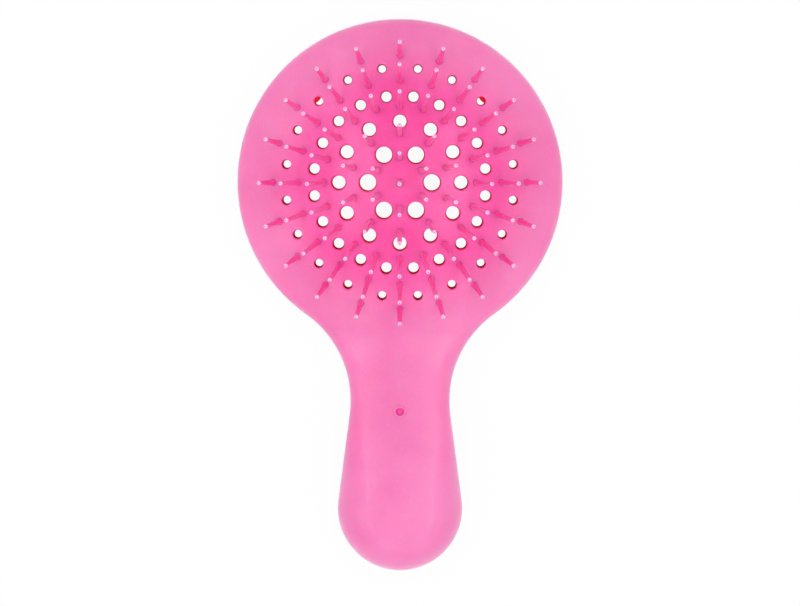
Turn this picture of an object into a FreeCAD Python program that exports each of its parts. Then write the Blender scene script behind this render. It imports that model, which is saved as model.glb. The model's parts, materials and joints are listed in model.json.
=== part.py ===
"""Detangling brush: a hollow two-shell body with a vented, domed head and 77 snap-in pins.

The brush lies on its back. Z points up out of the pins, Y runs from the grip to the head,
and the origin is at the middle of the bottom of the whole brush. Every piece is drawn about
the axis of the round head and then moved along Y into that frame. Lengths are in millimetres.
"""

import FreeCAD, Part
import math
import os
import Sketcher
from FreeCAD import Placement, Rotation, Vector

SIZES = {
    # plan outline
    "total_length": 140.0,
    "head_diameter": 82.5,
    "neck_width": 25.1,
    "neck_radius": 27.0,
    "grip_end_radius": 15.8,
    # crown of the front shell, along the middle of the brush
    "dome_radius": 80.0,
    "dome_height": 18.4,
    "valley_radius": 22.0,
    "grip_crown_radius": 120.0,
    "grip_height": 14.0,
    "grip_peak": 80.0,
    # shells
    "parting_height": 4.0,
    "wall": 2.0,
    "head_edge_radius": 4.2,
    "grip_edge_radius": 9.0,
    "back_edge_radius": 3.0,
    "back_skin": 1.8,
    "dish_depth": 9.0,
    "dish_radius": 65.0,
    "dish_edge_radius": 0.8,
    # lap joint round the edge of the shells
    "lip_width": 0.9,
    "lip_depth": 1.2,
    "lip_gap": 0.1,
    "parting_chamfer": 0.25,
    # snap posts of the back shell and their sockets in the front shell
    "post_diameter": 2.6,
    "post_gap": 0.1,
    "post_height": 7.6,
    "boss_wall": 0.9,
    "boss_bottom": 5.2,
    "head_post_circle": 31.35,
    "neck_post_setback": 58.0,
    "grip_post_setback": 86.0,
    # vents of the front shell, from the middle of the head outwards; the back's are narrower by the step
    "core_vent_diameter": 4.5,
    "core_vent_circle": 8.05,
    "inner_vent_diameter": 3.7,
    "inner_vent_circle": 15.4,
    "middle_vent_diameter": 3.0,
    "middle_vent_circle": 21.85,
    "outer_vent_diameter": 2.35,
    "outer_vent_circle": 28.95,
    "vent_step": 0.4,
    "vent_edge_radius": 0.3,
    # pins
    "first_pin_circle": 6.4,
    "second_pin_circle": 12.3,
    "third_pin_circle": 19.2,
    "fourth_pin_circle": 25.6,
    "fifth_pin_circle": 32.0,
    "long_pin_length": 16.5,
    "fourth_pin_length": 13.5,
    "fifth_pin_length": 9.0,
    "pin_root_diameter": 1.5,
    "pin_tip_diameter": 1.0,
    "pin_neck_diameter": 0.8,
    "pin_foot_diameter": 2.2,
    "pin_foot_lead": 1.2,
    "pin_foot_length": 1.0,
    "pin_foot_gap": 0.4,
    "pin_seat_gap": 0.1,
    "pin_lean": 10.0,
    # moulding mark on the grip
    "mark_setback": 58.0,
    "mark_diameter": 3.8,
    "mark_height": 0.25,
    "mark_recess_diameter": 2.1,
    "mark_recess_depth": 0.5,
    "mark_nub_diameter": 0.9,
}

# vent rings: name, number of vents, direction of the first one in degrees from X
VENT_RINGS = [("core", 6, 0), ("inner", 12, 0), ("middle", 20, 9), ("outer", 20, 9)]

# pin rings: circle, length and number of pins; each ring has a pin at 90 degrees from X
PIN_RINGS = [
    ("first_pin_circle", "long_pin_length", 6),
    ("second_pin_circle", "long_pin_length", 10),
    ("third_pin_circle", "long_pin_length", 20),
    ("fourth_pin_circle", "fourth_pin_length", 20),
    ("fifth_pin_circle", "fifth_pin_length", 20),
]
SPOKE_RINGS = PIN_RINGS[2:]

HEAD_POST_ANGLES = (45, 135)
CUT_MARGIN = 3.0  # how far a cutting profile reaches past the solid that it cuts
EVENNESS = 0.005  # how far to one side the centre of an even shape may lie
EDGE_SHARES = (1.0, 0.75, 0.5, 0.25)  # shares of an edge radius, tried until the edge is sound
OVERRUN = 0.15  # how far a blind cut goes on past the wall that it opens
TOLERANCE = 1e-4  # heights, radii and slopes closer than this count as equal

START, END, CENTRE = 1, 2, 3  # the points of an arc or a line in a sketch
ORIGIN = (-1, 1)
X_AXIS, Y_AXIS = -1, -2

doc = FreeCAD.newDocument("detangling_brush")
sheet = doc.addObject("Spreadsheet::Sheet", "sizes")
for row, (alias, value) in enumerate(SIZES.items(), start=1):
    sheet.set(f"A{row}", alias)
    sheet.set(f"B{row}", str(value))
    sheet.setAlias(f"B{row}", alias)
doc.recompute()

HEAD_Y = "sizes.total_length / 2 - sizes.head_diameter / 2"
GRIP_END = "sizes.total_length - sizes.head_diameter / 2"


def size(alias):
    """The value of one cell of the sheet."""
    return float(getattr(sheet, alias))


def total(terms):
    """The sum of some cells, where a name after a minus sign is taken away."""
    return sum(-size(term[1:]) if term.startswith("-") else size(term) for term in terms)


def total_expression(terms):
    """The same sum as an expression on the sheet."""
    signed = ["- sizes." + term[1:] if term.startswith("-") else "+ sizes." + term for term in terms]
    return " ".join(["0"] + signed)


def new_body(label):
    body = doc.addObject("PartDesign::Body", label)
    body.Label = label
    return body


def origin_feature(body, role):
    return next(found for found in body.Origin.OriginFeatures if found.Role == role)


def new_sketch(body, name, plane="XY_Plane", height=None):
    """A sketch on one of the body's planes, lifted off it by the expression `height`."""
    sketch = body.newObject("Sketcher::SketchObject", name)
    sketch.AttachmentSupport = [(origin_feature(body, plane), "")]
    sketch.MapMode = "FlatFace"
    if height:
        sketch.setExpression("AttachmentOffset.Base.z", height)
    return sketch


def bind(sketch, kind, references, value, expression):
    """A dimension of the sketch, driven by an expression on the sheet."""
    index = sketch.addConstraint(Sketcher.Constraint(kind, *references, value))
    sketch.setExpression(f"Constraints[{index}]", expression)


def bind_point(sketch, geometry, point, across=None, up=None):
    """Place a point of the sketch by expressions for its distances from the sketch's origin."""
    at = sketch.getPoint(geometry, point)
    if across:
        bind(sketch, "DistanceX", (*ORIGIN, geometry, point), at.x, across)
    if up:
        bind(sketch, "DistanceY", (*ORIGIN, geometry, point), at.y, up)


def bind_radius(sketch, geometry, expression):
    bind(sketch, "Radius", (geometry,), sketch.Geometry[geometry].Radius, expression)


def relate(sketch, kind, *references):
    """A geometric relation of the sketch, such as a tangency."""
    sketch.addConstraint(Sketcher.Constraint(kind, *references))


def line(start, end):
    return Part.LineSegment(Vector(*start, 0), Vector(*end, 0))


def arc(centre, radius, start, end):
    """An arc drawn anticlockwise from the direction of point `start` to that of point `end`."""
    circle = Part.Circle(Vector(*centre, 0), Vector(0, 0, 1), radius)
    first = math.atan2(start[1] - centre[1], start[0] - centre[0])
    last = math.atan2(end[1] - centre[1], end[0] - centre[0])
    if last <= first:
        last += 2 * math.pi
    return Part.ArcOfCircle(circle, first, last)


def draw_polygon(sketch, corners):
    """A closed polygon whose corners are (across value, expression, up value, expression)."""
    points = [(across, up) for across, _, up, _ in corners]
    first = len(sketch.Geometry)
    sketch.addGeometry([line(a, b) for a, b in zip(points, points[1:] + points[:1])], False)
    for index, (_, across, _, up) in enumerate(corners):
        before = first + (index - 1) % len(corners)
        relate(sketch, "Coincident", before, END, first + index, START)
        bind_point(sketch, first + index, START, across, up)


def feature(body, kind, name, sketch, **lengths):
    """A feature of the body, with its lengths driven by expressions on the sheet."""
    made = body.newObject("PartDesign::" + kind, name)
    made.Profile = sketch
    for key, expression in lengths.items():
        made.setExpression(key, expression)
    body.Tip = made
    return made


def revolve(body, kind, name, sketch, axis="V_Axis"):
    made = feature(body, kind, name, sketch)
    made.ReferenceAxis = (sketch, [axis])
    made.Angle = 360.0
    return made


def polar_pattern(body, name, original, count):
    """Copies of a feature round the axis of the head."""
    made = body.newObject("PartDesign::PolarPattern", name)
    made.Originals = [original]
    made.Axis = (origin_feature(body, "Z_Axis"), [""])
    made.Angle = 360.0
    made.Occurrences = count
    body.Tip = made


def ease_edges(body, kind, name, expression, chosen):
    """A Fillet or a Chamfer on the edges of the body so far for which `chosen` is true."""
    doc.recompute()
    base = body.Tip
    edges = [f"Edge{i}" for i, edge in enumerate(base.Shape.Edges, start=1) if chosen(base.Shape, edge)]
    if not edges:
        raise RuntimeError(f"no edge for {name} on {body.Label}")
    made = body.newObject("PartDesign::" + kind, name)
    made.Base = (base, edges)
    made.setExpression("Radius" if kind == "Fillet" else "Size", expression)
    body.Tip = made


def is_on_grip_end(at):
    """Whether a point lies on the round end of the grip, seen from above."""
    centre = size("head_diameter") / 2 + size("grip_end_radius") - size("total_length")
    return abs(math.hypot(at.x, at.y - centre) - size("grip_end_radius")) < TOLERANCE


def is_even(shape):
    """Whether a shape is sound and the same on its left and on its right."""
    return not shape.isNull() and shape.isValid() and abs(shape.CenterOfGravity.x) < EVENNESS


def round_crown_edge(block, label):
    """A new body that starts from a block with the edge of its crown rounded.

    The radius grows along each straight flank of the grip. Where changed sizes leave no room for that, one
    radius goes all the way round, no larger than leaves a sound edge. This kind of rounding takes numbers
    and no expressions, so it gets the sheet's values here.
    """
    doc.recompute()
    edges = []
    for index, edge in enumerate(block.Shape.Edges, start=1):
        if between_crown_and_side(block.Shape, edge):
            ends = [edge.valueAt(edge.FirstParameter), edge.valueAt(edge.LastParameter)]
            if edge.Orientation == "Reversed":
                ends.reverse()
            edges.append((index, [is_on_grip_end(end) for end in ends]))
    rounded = doc.addObject("Part::Fillet", label + "_edge")
    rounded.Base = block
    wanted = size("head_edge_radius")
    radii = [(wanted, size("grip_edge_radius"))]
    radii += [(wanted * share, wanted * share) for share in EDGE_SHARES]
    for head, grip in radii:
        rounded.Edges = [(index, *[grip if wide else head for wide in on_end]) for index, on_end in edges]
        doc.recompute()
        if is_even(rounded.Shape):
            break
    print(f"{label}: edge radius {head:.2f} mm on the head, {grip:.2f} mm on the grip")
    body = new_body(label)
    body.BaseFeature = rounded
    return body


def place(piece, angle=0.0):
    """Turn a piece about the axis of the head, then move that axis into the frame of the brush."""
    piece.Placement = Placement(Vector(0, 0, 0), Rotation(Vector(0, 0, 1), angle))
    piece.setExpression("Placement.Base.y", HEAD_Y)


def middle(edge):
    return edge.valueAt((edge.FirstParameter + edge.LastParameter) / 2)


def between_crown_and_side(shape, edge):
    """Whether an edge lies between the crown, which faces up, and an upright side of the brush."""
    at = middle(edge)
    faces = shape.ancestorsOfType(edge, Part.Face)
    rises = sorted(face.normalAt(*face.Surface.parameter(at)).z for face in faces)
    return len(rises) == 2 and abs(rises[0]) < TOLERANCE and rises[1] > TOLERANCE


def at_height(edge, height):
    """Whether an edge lies flat at one height."""
    box = edge.BoundBox
    return abs(box.ZMin - height) < TOLERANCE and abs(box.ZMax - height) < TOLERANCE


def is_bottom_edge(shape, edge):
    """Whether an edge lies on the bottom of the brush."""
    return at_height(edge, 0.0)


def is_parting_edge(shape, edge):
    """Whether an edge lies at the height where the two shells meet."""
    return at_height(edge, size("parting_height"))


def is_dish_rim(shape, edge):
    """Whether an edge is where the hollow of the back meets the bottom of the brush."""
    at = middle(edge)
    rim = math.sqrt(size("dish_depth") * (2 * size("dish_radius") - size("dish_depth")))
    return at_height(edge, 0.0) and abs(math.hypot(at.x, at.y) - rim) < TOLERANCE


def is_vent_mouth(shape, edge, sphere):
    """Whether an edge is the mouth of a vent in the spherical face whose radius is the cell `sphere`."""
    surfaces = [face.Surface for face in shape.ancestorsOfType(edge, Part.Face)]
    widest = size("core_vent_diameter")
    bores = [s for s in surfaces if isinstance(s, Part.Cylinder) and s.Radius < widest]
    balls = [s for s in surfaces if isinstance(s, Part.Sphere)]
    return len(bores) == 1 and len(balls) == 1 and abs(balls[0].Radius - size(sphere)) < TOLERANCE


def is_front_vent_mouth(shape, edge):
    """Whether an edge is the mouth of a vent in the dome."""
    return is_vent_mouth(shape, edge, "dome_radius")


def is_back_vent_mouth(shape, edge):
    """Whether an edge is the mouth of a vent in the hollow of the back."""
    return is_vent_mouth(shape, edge, "dish_radius")


def draw_outline(sketch, inset=()):
    """The plan outline of the brush, drawn inwards by the sum of the cells in `inset`.

    A head arc and a grip end arc are joined on each side by a hollow neck arc and a straight flank,
    all tangent to each other.
    """
    step = total(inset)
    step_expression = f"({total_expression(inset)})"
    head = size("head_diameter") / 2
    neck = size("neck_radius")
    end = size("grip_end_radius")
    neck_at = Vector(size("neck_width") / 2 + neck, 0)
    neck_at.y = -math.sqrt((head + neck) ** 2 - neck_at.x**2)
    end_at = Vector(0, head + end - size("total_length"))

    # the flank is tangent to the neck arc on one of its sides and to the end arc on the other
    apart = neck_at - end_at
    flank_angle = math.atan2(apart.y, apart.x) - math.acos((neck + end) / apart.Length)
    flank = Vector(math.cos(flank_angle), math.sin(flank_angle))
    flank_top = neck_at - flank * (neck + step)
    flank_foot = end_at + flank * (end - step)

    def right(point):
        return (point.x, point.y)

    def left(point):
        return (-point.x, point.y)

    first = len(sketch.Geometry)
    head_arc, left_neck, left_flank, end_arc, right_flank, right_neck = range(first, first + 6)
    sketch.addGeometry(
        [
            arc((0, 0), head - step, right(neck_at), left(neck_at)),
            arc(left(neck_at), neck + step, left(flank_top), (0, 0)),
            line(left(flank_top), left(flank_foot)),
            arc(right(end_at), end - step, left(flank_foot), right(flank_foot)),
            line(right(flank_foot), right(flank_top)),
            arc(right(neck_at), neck + step, (0, 0), right(flank_top)),
        ],
        False,
    )
    relate(sketch, "Tangent", head_arc, END, left_neck, END)
    relate(sketch, "Tangent", left_neck, START, left_flank, START)
    relate(sketch, "Tangent", left_flank, END, end_arc, START)
    relate(sketch, "Tangent", end_arc, END, right_flank, START)
    relate(sketch, "Tangent", right_flank, END, right_neck, END)
    relate(sketch, "Tangent", right_neck, START, head_arc, START)
    relate(sketch, "Coincident", head_arc, CENTRE, *ORIGIN)
    relate(sketch, "PointOnObject", end_arc, CENTRE, Y_AXIS)
    bind_radius(sketch, head_arc, f"sizes.head_diameter / 2 - {step_expression}")
    bind_radius(sketch, end_arc, f"sizes.grip_end_radius - {step_expression}")
    bind_point(sketch, end_arc, CENTRE, up=f"sizes.grip_end_radius - ({GRIP_END})")
    for neck_arc, side in ((left_neck, "-"), (right_neck, "")):
        bind_radius(sketch, neck_arc, f"sizes.neck_radius + {step_expression}")
        bind_point(sketch, neck_arc, CENTRE, across=f"{side}(sizes.neck_width / 2 + sizes.neck_radius)")


def draw_crown(sketch, inset=()):
    """What lies above the crown line along the middle of the brush, and the axis it turns about.

    The crown line is the dome of the head, a hollow valley at the neck and the long crown of the grip.
    Turned about an axis along the brush, at the height of the dome's centre, it makes a true sphere of
    the dome and gives the grip a rounded back.
    """
    step = total(inset)
    step_expression = f"({total_expression(inset)})"
    dome = size("dome_radius") - step
    valley = size("valley_radius") + step
    grip = size("grip_crown_radius") - step
    dome_at = Vector(0, size("dome_height") - size("dome_radius"))
    grip_at = Vector(-size("grip_peak"), size("grip_height") - size("grip_crown_radius"))
    front = size("head_diameter") / 2 + CUT_MARGIN
    rear = size("head_diameter") / 2 - size("total_length") - CUT_MARGIN
    top = size("dome_height") + size("head_diameter") / 2

    # the valley's centre is as far from the other two centres as tangent arcs need
    apart = grip_at - dome_at
    along = ((dome + valley) ** 2 - (grip + valley) ** 2 + apart.Length**2) / (2 * apart.Length)
    aside = math.sqrt((dome + valley) ** 2 - along**2)
    towards = apart / apart.Length
    valley_at = dome_at + towards * along + Vector(towards.y, -towards.x) * aside
    dome_start = (front, dome_at.y + math.sqrt(dome**2 - front**2))
    grip_finish = (rear, grip_at.y + math.sqrt(grip**2 - (rear - grip_at.x) ** 2))

    axis, dome_arc, valley_arc, grip_arc, rear_line, top_line, front_line = range(7)
    sketch.addGeometry(line((front, dome_at.y), (rear, dome_at.y)), True)
    sketch.addGeometry(
        [
            arc((0, dome_at.y), dome, dome_start, (valley_at.x, valley_at.y)),
            arc((valley_at.x, valley_at.y), valley, (grip_at.x, grip_at.y), (0, dome_at.y)),
            arc((grip_at.x, grip_at.y), grip, (valley_at.x, valley_at.y), grip_finish),
            line(grip_finish, (rear, top)),
            line((rear, top), (front, top)),
            line((front, top), dome_start),
        ],
        False,
    )
    relate(sketch, "Horizontal", axis)
    relate(sketch, "PointOnObject", dome_arc, CENTRE, axis)
    relate(sketch, "PointOnObject", dome_arc, CENTRE, Y_AXIS)
    relate(sketch, "Tangent", dome_arc, END, valley_arc, END)
    relate(sketch, "Tangent", valley_arc, START, grip_arc, START)
    relate(sketch, "Coincident", grip_arc, END, rear_line, START)
    relate(sketch, "Coincident", rear_line, END, top_line, START)
    relate(sketch, "Coincident", top_line, END, front_line, START)
    relate(sketch, "Coincident", front_line, END, dome_arc, START)
    relate(sketch, "Vertical", rear_line)
    relate(sketch, "Horizontal", top_line)
    relate(sketch, "Vertical", front_line)
    bind_point(sketch, dome_arc, CENTRE, up="sizes.dome_height - sizes.dome_radius")
    bind_radius(sketch, dome_arc, f"sizes.dome_radius - {step_expression}")
    bind_radius(sketch, valley_arc, f"sizes.valley_radius + {step_expression}")
    bind_radius(sketch, grip_arc, f"sizes.grip_crown_radius - {step_expression}")
    bind_point(sketch, grip_arc, CENTRE, "-sizes.grip_peak", "sizes.grip_height - sizes.grip_crown_radius")
    front_expression = f"sizes.head_diameter / 2 + {CUT_MARGIN}"
    rear_expression = f"-({GRIP_END}) - {CUT_MARGIN}"
    bind_point(sketch, front_line, END, across=front_expression)
    bind_point(sketch, rear_line, START, across=rear_expression)
    bind_point(sketch, top_line, START, up="sizes.dome_height + sizes.head_diameter / 2")
    bind_point(sketch, axis, START, across=front_expression)
    bind_point(sketch, axis, END, across=rear_expression)


def add_circle(sketch, centre, across, up, radius, diameter):
    """A circle, with expressions for its diameter and for where its centre lies across and up."""
    index = sketch.addGeometry(Part.Circle(Vector(*centre, 0), Vector(0, 0, 1), radius), False)
    if not across:
        relate(sketch, "PointOnObject", index, CENTRE, Y_AXIS)
    bind_point(sketch, index, CENTRE, across, up)
    bind(sketch, "Diameter", (index,), 2 * radius, diameter)


def add_circle_at_angle(sketch, circle, angle, radius, diameter):
    """A circle whose centre lies at an angle from X, on the circle of the cell `circle`."""
    turn = math.radians(angle)
    centre = (size(circle) * math.cos(turn), size(circle) * math.sin(turn))
    across = f"sizes.{circle} * cos({angle} deg)"
    up = f"sizes.{circle} * sin({angle} deg)"
    add_circle(sketch, centre, across, up, radius, diameter)


def draw_posts(sketch, sleeve=()):
    """The circles of the snap posts, wider by twice the sum of the cells in `sleeve`."""
    radius = size("post_diameter") / 2 + total(sleeve)
    diameter = f"sizes.post_diameter + 2 * ({total_expression(sleeve)})"
    for angle in HEAD_POST_ANGLES:
        add_circle_at_angle(sketch, "head_post_circle", angle, radius, diameter)
    for setback in ("neck_post_setback", "grip_post_setback"):
        add_circle(sketch, (0, -size(setback)), None, f"-sizes.{setback}", radius, diameter)


def draw_vent(sketch, ring, angle, step=()):
    """The first vent of a ring, its diameter changed by the sum of the cells in `step`."""
    cells = (ring + "_vent_diameter", *step)
    add_circle_at_angle(sketch, ring + "_vent_circle", angle, total(cells) / 2, total_expression(cells))


def sketch_on_arc(body, name, across, up, lean_radians, across_expression, up_expression, lean_expression):
    """A sketch in the plane along the brush, with its upright axis square to a crown line there."""
    sketch = new_sketch(body, name, "YZ_Plane")
    turn = Rotation(Vector(0, 0, -1), math.degrees(lean_radians))
    sketch.AttachmentOffset = Placement(Vector(across, up, 0), turn)
    sketch.setExpression("AttachmentOffset.Base.x", across_expression)
    sketch.setExpression("AttachmentOffset.Base.y", up_expression)
    if lean_radians:
        sketch.setExpression("AttachmentOffset.Rotation.Angle", lean_expression)
    return sketch


def sketch_on_dome(body, name, circle=None):
    """A sketch with its origin on the dome at a pin's root and its upright axis along the pin."""
    distance = size(circle) if circle else 0.0
    distance_expression = f"sizes.{circle}" if circle else "0"
    dome = size("dome_radius")
    return sketch_on_arc(
        body,
        name,
        distance,
        size("dome_height") - dome + math.sqrt(dome**2 - distance**2),
        math.asin(distance / dome),
        distance_expression,
        f"sizes.dome_height - sizes.dome_radius + sqrt(sizes.dome_radius ^ 2 - {distance_expression} ^ 2)",
        f"asin({distance_expression} / sizes.dome_radius)",
    )


def cut_pin_seat(body, name, circle, count):
    """Seats for one ring of pins: a round cup with a bore below it that widens so the neck can lean."""
    sketch = sketch_on_dome(body, name + "_profile", circle)
    cup = size("pin_root_diameter") / 2 + size("pin_seat_gap")
    bore = size("pin_neck_diameter") / 2 + size("pin_seat_gap")
    floor = -size("wall") - OVERRUN
    lean = math.radians(size("pin_lean"))
    mouth = bore - floor * math.tan(lean)

    # the bore widens at the angle of a leaned neck, and its side meets the cup at the throat
    meeting = math.acos(bore * math.cos(lean) / cup) - lean
    throat = cup * math.cos(meeting)
    throat_at = -cup * math.sin(meeting)
    axis_line, top_line, side_line, cup_arc, bore_line, floor_line = range(6)
    sketch.addGeometry(
        [
            line((0, floor), (0, CUT_MARGIN)),
            line((0, CUT_MARGIN), (cup, CUT_MARGIN)),
            line((cup, CUT_MARGIN), (cup, 0)),
            arc((0, 0), cup, (throat, throat_at), (cup, 0)),
            line((throat, throat_at), (mouth, floor)),
            line((mouth, floor), (0, floor)),
        ],
        False,
    )
    relate(sketch, "Coincident", axis_line, END, top_line, START)
    relate(sketch, "Coincident", top_line, END, side_line, START)
    relate(sketch, "Coincident", side_line, END, cup_arc, END)
    relate(sketch, "Coincident", cup_arc, START, bore_line, START)
    relate(sketch, "Coincident", bore_line, END, floor_line, START)
    relate(sketch, "Coincident", floor_line, END, axis_line, START)
    relate(sketch, "Coincident", cup_arc, CENTRE, *ORIGIN)
    relate(sketch, "PointOnObject", cup_arc, END, X_AXIS)
    relate(sketch, "PointOnObject", axis_line, START, Y_AXIS)
    relate(sketch, "PointOnObject", axis_line, END, Y_AXIS)
    relate(sketch, "Horizontal", top_line)
    relate(sketch, "Vertical", side_line)
    relate(sketch, "Horizontal", floor_line)
    bore_expression = "sizes.pin_neck_diameter / 2 + sizes.pin_seat_gap"
    depth_expression = f"(sizes.wall + {OVERRUN})"
    mouth_expression = f"{bore_expression} + {depth_expression} * tan(sizes.pin_lean * 1 deg)"
    bind_radius(sketch, cup_arc, "sizes.pin_root_diameter / 2 + sizes.pin_seat_gap")
    bind_point(sketch, axis_line, END, up=str(CUT_MARGIN))
    bind_point(sketch, bore_line, END, mouth_expression, "-" + depth_expression)
    bind(sketch, "Angle", (bore_line,), lean - math.pi / 2, "(sizes.pin_lean - 90) * 1 deg")
    seat = revolve(body, "Groove", name, sketch)
    if count > 1:
        polar_pattern(body, name + "_ring", seat, count)


def add_moulding_mark(body):
    """The round mark on the grip: a low ring round a recess with a nub in its middle."""
    radius = size("grip_crown_radius")
    ahead = size("grip_peak") - size("mark_setback")
    ahead_expression = "(sizes.grip_peak - sizes.mark_setback)"
    rise_expression = f"sqrt(sizes.grip_crown_radius ^ 2 - {ahead_expression} ^ 2)"
    where = (
        -size("mark_setback"),
        size("grip_height") - radius + math.sqrt(radius**2 - ahead**2),
        math.asin(ahead / radius),
        "-sizes.mark_setback",
        f"sizes.grip_height - sizes.grip_crown_radius + {rise_expression}",
        f"asin({ahead_expression} / sizes.grip_crown_radius)",
    )
    outer = (size("mark_diameter") / 2, "sizes.mark_diameter / 2")
    inner = (size("mark_recess_diameter") / 2, "sizes.mark_recess_diameter / 2")
    crest = ((outer[0] + inner[0]) / 2, "(sizes.mark_diameter + sizes.mark_recess_diameter) / 4")
    nub = (size("mark_nub_diameter") / 2, "sizes.mark_nub_diameter / 2")
    top = (size("mark_height"), "sizes.mark_height")
    depth = (-size("mark_recess_depth"), "-sizes.mark_recess_depth")
    above = (2 * top[0], "2 * sizes.mark_height")
    brink = (-OVERRUN, str(-OVERRUN))

    ring = sketch_on_arc(body, "mark_ring_profile", *where)
    draw_polygon(ring, [inner + depth, outer + depth, outer + brink, crest + top, inner + top])
    revolve(body, "Revolution", "mark_ring", ring)
    recess = sketch_on_arc(body, "mark_recess_profile", *where)
    draw_polygon(recess, [nub + depth, inner + depth, inner + above, nub + above])
    revolve(body, "Groove", "mark_recess", recess)


def build_front_cavity():
    """The hollow of the front shell, with the places of the post bosses left out of it."""
    body = new_body("front_cavity")
    bottom = f"sizes.parting_height - sizes.lip_depth - {CUT_MARGIN}"
    outline = new_sketch(body, "cavity_outline", height=bottom)
    draw_outline(outline, ("wall",))
    feature(body, "Pad", "cavity_block", outline, Length=f"sizes.dome_height + {CUT_MARGIN}")
    crown = new_sketch(body, "cavity_crown_profile", "YZ_Plane")
    draw_crown(crown, ("wall",))
    revolve(body, "Groove", "cavity_crown", crown, "Axis0")
    inner_radius = "sizes.grip_edge_radius - sizes.wall"
    ease_edges(body, "Fillet", "cavity_edge", inner_radius, between_crown_and_side)
    bosses = new_sketch(body, "boss_circles", height="sizes.boss_bottom")
    draw_posts(bosses, ("post_gap", "boss_wall"))
    feature(body, "Pocket", "boss_places", bosses, Length="sizes.dome_height").Reversed = True
    return body


def build_front_shell():
    """The front: a domed, vented head with pin seats, a crowned grip, and sockets for the back's posts."""
    block = new_body("front_block")
    outline = new_sketch(block, "front_outline", height="sizes.parting_height")
    draw_outline(outline)
    height = f"sizes.dome_height - sizes.parting_height + {CUT_MARGIN}"
    feature(block, "Pad", "front_sides", outline, Length=height)
    ease_edges(block, "Chamfer", "front_parting", "sizes.parting_chamfer", is_parting_edge)
    crown = new_sketch(block, "front_crown_profile", "YZ_Plane")
    draw_crown(crown)
    revolve(block, "Groove", "front_crown", crown, "Axis0")
    body = round_crown_edge(block, "front_shell")
    lip = new_sketch(body, "front_lip_outline", height="sizes.parting_height")
    draw_outline(lip, ("wall", "-lip_width"))
    feature(body, "Pad", "front_lip", lip, Length="sizes.lip_depth").Reversed = True
    add_moulding_mark(body)

    hollow = body.newObject("PartDesign::Boolean", "front_hollow")
    hollow.setObjects([build_front_cavity()])
    hollow.Type = "Cut"
    body.Tip = hollow

    sockets = new_sketch(body, "post_socket_circles", height="sizes.boss_bottom")
    draw_posts(sockets, ("post_gap",))
    depth = "sizes.post_height + sizes.post_gap - sizes.boss_bottom"
    feature(body, "Pocket", "post_sockets", sockets, Length=depth).Reversed = True
    for ring, count, angle in VENT_RINGS:
        vent = new_sketch(body, f"front_{ring}_vent_circle", height=f"sizes.dome_height + {CUT_MARGIN}")
        draw_vent(vent, ring, angle)
        outer_side = f"(sizes.{ring}_vent_circle + sizes.{ring}_vent_diameter / 2)"
        drop = f"sizes.dome_radius - sqrt((sizes.dome_radius - sizes.wall) ^ 2 - {outer_side} ^ 2)"
        cut = feature(body, "Pocket", f"front_{ring}_vent", vent, Length=f"{drop} + {CUT_MARGIN + OVERRUN}")
        polar_pattern(body, f"front_{ring}_vents", cut, count)
    ease_edges(body, "Fillet", "front_vent_mouths", "sizes.vent_edge_radius", is_front_vent_mouth)
    cut_pin_seat(body, "centre_seat", None, 1)
    for circle, _, count in PIN_RINGS:
        cut_pin_seat(body, circle.replace("_pin_circle", "_seat"), circle, count)
    place(body)
    return body


def draw_cap(sketch, skin=()):
    """Half of the round cap under the head, larger by the sum of the cells in `skin`."""
    step = total(skin)
    step_expression = f"({total_expression(skin)})"
    radius = size("dish_radius") + step
    centre = size("dish_depth") - size("dish_radius")
    rim = math.sqrt(radius**2 - centre**2)
    axis_line, floor_line, cap_arc = range(3)
    sketch.addGeometry(
        [
            line((0, centre + radius), (0, 0)),
            line((0, 0), (rim, 0)),
            arc((0, centre), radius, (rim, 0), (0, centre + radius)),
        ],
        False,
    )
    relate(sketch, "Coincident", axis_line, END, *ORIGIN)
    relate(sketch, "Coincident", axis_line, END, floor_line, START)
    relate(sketch, "Coincident", floor_line, END, cap_arc, START)
    relate(sketch, "Coincident", cap_arc, END, axis_line, START)
    relate(sketch, "Vertical", axis_line)
    relate(sketch, "Horizontal", floor_line)
    relate(sketch, "PointOnObject", cap_arc, CENTRE, Y_AXIS)
    bind_point(sketch, cap_arc, CENTRE, up="sizes.dish_depth - sizes.dish_radius")
    bind_radius(sketch, cap_arc, f"sizes.dish_radius + {step_expression}")


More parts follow.
